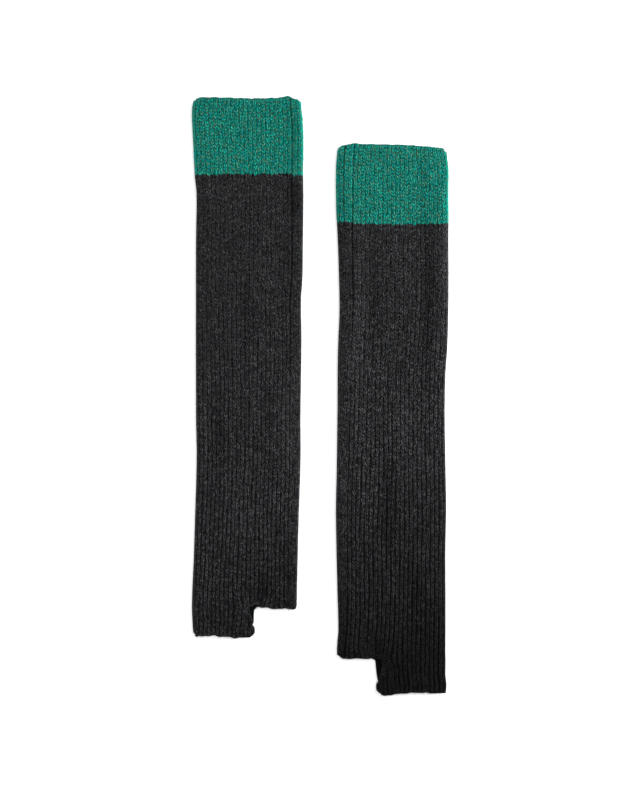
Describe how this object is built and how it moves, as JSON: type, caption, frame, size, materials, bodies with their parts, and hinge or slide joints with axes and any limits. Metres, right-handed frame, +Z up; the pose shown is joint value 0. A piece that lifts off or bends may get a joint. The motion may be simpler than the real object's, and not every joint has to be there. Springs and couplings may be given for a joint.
{
  "type": "pair of leg warmers",
  "caption": "Long ribbed knit tubes with a contrast cuff band, an open heel and a stirrup ring, laid flat side by side.",
  "frame": {"origin": "middle of the pair's footprint, on the surface that it lies on", "axes": "+X across the pair, from the left leg warmer to the right one; +Y along the legs towards the cuffs; +Z up from the surface"},
  "size_m": [0.3078, 0.7198, 0.0076],
  "materials": {
    "teal_green_wool": "ribbed heather wool knit, soft and matt with a short fuzz",
    "charcoal_wool": "ribbed heather wool knit, soft and matt with a short fuzz"
  },
  "bodies": {
    "root": {"left_cuff": "teal_green_wool", "left_leg": "charcoal_wool", "right_cuff": "teal_green_wool", "right_leg": "charcoal_wool"}
  },
  "joints": []
}
